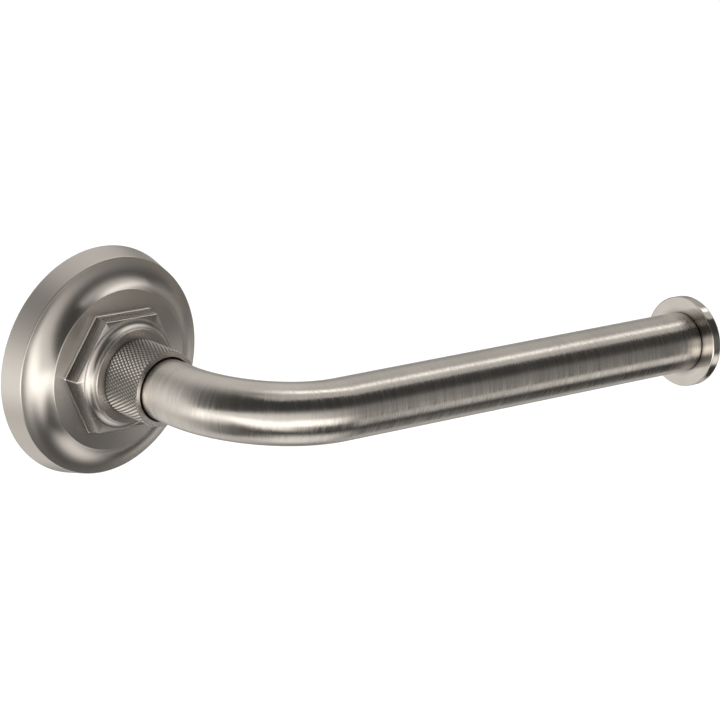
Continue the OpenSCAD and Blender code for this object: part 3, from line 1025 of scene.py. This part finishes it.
def hung(name, points, faces, brightness):
    """A glowing cloth, with a brightness for each of its points. Only reflections see it."""
    mesh = bpy.data.meshes.new(name)
    mesh.from_pydata(points, [], faces)
    mesh.attributes.new("brightness", "FLOAT", "POINT").data.foreach_set(
        "value", np.asarray(brightness, dtype=np.float32)
    )
    cloth = bpy.data.materials.new(name + "_cloth")
    cloth.use_nodes = True
    nodes, links = cloth.node_tree.nodes, cloth.node_tree.links
    emission = nodes.new("ShaderNodeEmission")
    emission.inputs["Color"].default_value = (1.0, 0.965, 0.925, 1)
    glow = nodes.new("ShaderNodeAttribute")
    glow.attribute_name = "brightness"
    links.new(glow.outputs["Fac"], emission.inputs["Strength"])
    links.new(emission.outputs[0], nodes["Material Output"].inputs["Surface"])
    mesh.materials.append(cloth)
    piece = bpy.data.objects.new(name, mesh)
    bpy.context.scene.collection.objects.link(piece)
    piece.visible_camera = False
    piece.visible_diffuse = False
    piece.visible_shadow = False
    piece.visible_transmission = False


# Lamps behind the tent, in degrees: how far each stands round from the arm's end, its turn
# about the arm (0 in front, 90 overhead, 180 at the wall), its half widths along and about the
# arm, and its brightness.
tent_lamps = {
    "front": (150, 0, 80, 20, 0.90),
    "front_edge": (90, -15, 20, 10, 1.40),
    "front_left": (135, -30, 30, 15, 1.75),
    "left_end": (180, -80, 30, 35, 1.70),
    "right_end": (0, 0, 20, 180, 0.35),
    "overhead": (55, 85, 30, 10, 1.80),
    "top_back": (75, 125, 40, 30, 0.65),
    "low_back": (95, -125, 25, 20, 0.80),
    "back_left": (155, -165, 35, 70, 0.90),
    "back_right": (45, -160, 20, 35, 0.45),
    "underneath": (80, -80, 20, 20, 1.00),
    "low_right": (40, -40, 10, 12, 1.10),
    "under_right": (45, -110, 12, 12, 0.50),
}
tent_radius = 1.2
tent_dimmest = 0.05
tent_step = 2

tilts = np.arange(0, 181, tent_step)
turns = np.arange(-180, 180, tent_step)
tilt, turn = (grid.ravel() for grid in np.meshgrid(tilts, turns, indexing="ij"))
tent_glow = np.full(len(tilt), tent_dimmest)
for lamp_tilt, lamp_turn, along, about, brightness in tent_lamps.values():
    off_along = np.abs(tilt - lamp_tilt) / along
    off_about = np.abs((turn - lamp_turn + 180) % 360 - 180) / about
    tent_glow += brightness * 0.5 ** (off_along ** 4 + off_about ** 4)
tilt, turn = np.radians(tilt), np.radians(turn)
tent_points = np.array(middle) + tent_radius * np.column_stack(
    (np.cos(tilt), -np.sin(tilt) * np.cos(turn), np.sin(tilt) * np.sin(turn))
)
around = len(turns)
hung("light_tent", tent_points.tolist(), [
    (a * around + b, a * around + (b + 1) % around,
     (a + 1) * around + (b + 1) % around, (a + 1) * around + b)
    for a in range(len(tilts) - 1) for b in range(around)
], tent_glow)

# A long narrow cloth near the arm, above and in front of it.
strip_at = Vector((0.30, -0.14, 0.26))
strip_half_long = Vector((0.36, 0, 0))
strip_half_wide = Vector((0, 0.05, 0.0135))
strip_brightness = 0.60
hung("strip_above", [
    strip_at + a * strip_half_long + b * strip_half_wide for a, b in ((-1, -1), (1, -1), (1, 1), (-1, 1))
], [(0, 1, 2, 3)], [strip_brightness] * 4)

sun = bpy.data.lights.new("overhead_light", "SUN")
sun.energy = 2.2
sun.angle = math.radians(80)
overhead = bpy.data.objects.new("overhead_light", sun)
overhead.visible_glossy = False
bpy.context.scene.collection.objects.link(overhead)

world = bpy.data.worlds.new("surround")
world.use_nodes = True
world.node_tree.nodes["Background"].inputs["Color"].default_value = (1.0, 0.995, 0.985, 1)
world.node_tree.nodes["Background"].inputs["Strength"].default_value = 0.55
bpy.context.scene.world = world
bpy.context.scene.view_settings.view_transform = "Standard"

# ---------------------------------------------------------------------------------------------
# Camera. A long lens a little above the holder and to the left of it, rolled slightly.
# ---------------------------------------------------------------------------------------------

camera_az = math.radians(-44.15)
camera_el = math.radians(16.69)
camera_roll = math.radians(4.81)
camera_away = 1315.5 * MM
back = Vector((math.sin(camera_az) * math.cos(camera_el), -math.cos(camera_az) * math.cos(camera_el),
               math.sin(camera_el)))
level = Vector((math.cos(camera_az), math.sin(camera_az), 0))
upright = back.cross(level)
image_x = level * math.cos(camera_roll) + upright * math.sin(camera_roll)
image_y = upright * math.cos(camera_roll) - level * math.sin(camera_roll)
lens = bpy.data.cameras.new("camera")
lens.lens = 209.9
lens.sensor_width = 36.0
lens.sensor_fit = "HORIZONTAL"
lens.clip_start = 0.05
lens.clip_end = 60
camera = bpy.data.objects.new("camera", lens)
bpy.context.scene.collection.objects.link(camera)
place = middle + back * camera_away
camera.matrix_world = Matrix([[image_x[i], image_y[i], back[i], place[i]] for i in range(3)] + [[0, 0, 0, 1]])
bpy.context.scene.camera = camera
